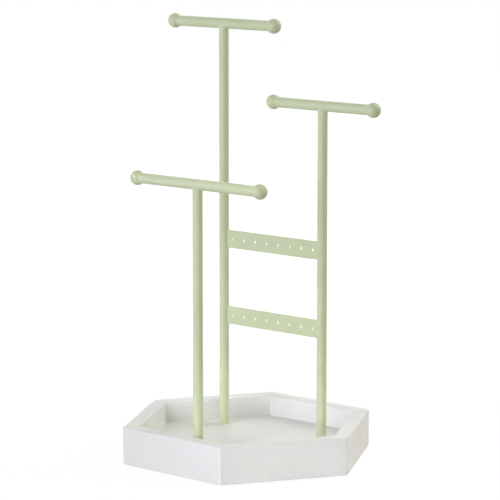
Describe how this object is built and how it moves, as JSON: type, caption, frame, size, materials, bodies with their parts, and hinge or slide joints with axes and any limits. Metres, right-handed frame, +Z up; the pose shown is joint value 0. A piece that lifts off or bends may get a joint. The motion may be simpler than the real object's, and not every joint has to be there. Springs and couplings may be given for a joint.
{
  "type": "jewelry holder",
  "caption": "Tabletop jewelry tree: hexagonal white wooden tray with three sage green T-shaped hangers at stepped heights and perforated earring strips between the two back posts.",
  "frame": {"origin": "on the table, under the middle of the hexagonal tray", "axes": "+Z up; +X along the bars, from the tall hanger towards the middle-height one; +Y to the back, from the front hanger towards the two back posts"},
  "size_m": [0.2211, 0.18, 0.3495],
  "materials": {
    "sage_paint": "satin powder coat",
    "white_paint": "white satin paint",
    "bare_wood": "bare plywood",
    "zinc_steel": "zinc plated",
    "felt": "pressed felt"
  },
  "bodies": {
    "stand": {"tray_wall_front": "white_paint", "tray_wall_front_right": "white_paint", "tray_wall_back_right": "white_paint", "tray_wall_back": "white_paint", "tray_wall_back_left": "white_paint", "tray_wall_front_left": "white_paint", "tray_floor": "white_paint", "corner_splines": "bare_wood", "felt_feet": "felt", "tall_post": "sage_paint", "tall_bar": "sage_paint", "tall_ball_left": "sage_paint", "tall_ball_right": "sage_paint", "tall_post_insert": "zinc_steel", "middle_post": "sage_paint", "middle_bar": "sage_paint", "middle_ball_left": "sage_paint", "middle_ball_right": "sage_paint", "middle_post_insert": "zinc_steel", "upper_earring_strip": "sage_paint", "lower_earring_strip": "sage_paint", "frame_screws": "zinc_steel", "post_washers": "zinc_steel"},
    "front_hanger": {"front_post": "sage_paint", "front_bar": "sage_paint", "front_ball_left": "sage_paint", "front_ball_right": "sage_paint", "front_post_insert": "zinc_steel", "front_screw": "zinc_steel"}
  },
  "joints": [
    {"name": "front_hanger_swivel", "type": "hinge", "parent": "stand", "child": "front_hanger", "pos_m": [0, -0.0585, 0.014], "axis": [0, 0, 1], "range_deg": [-90, 90]}
  ]
}
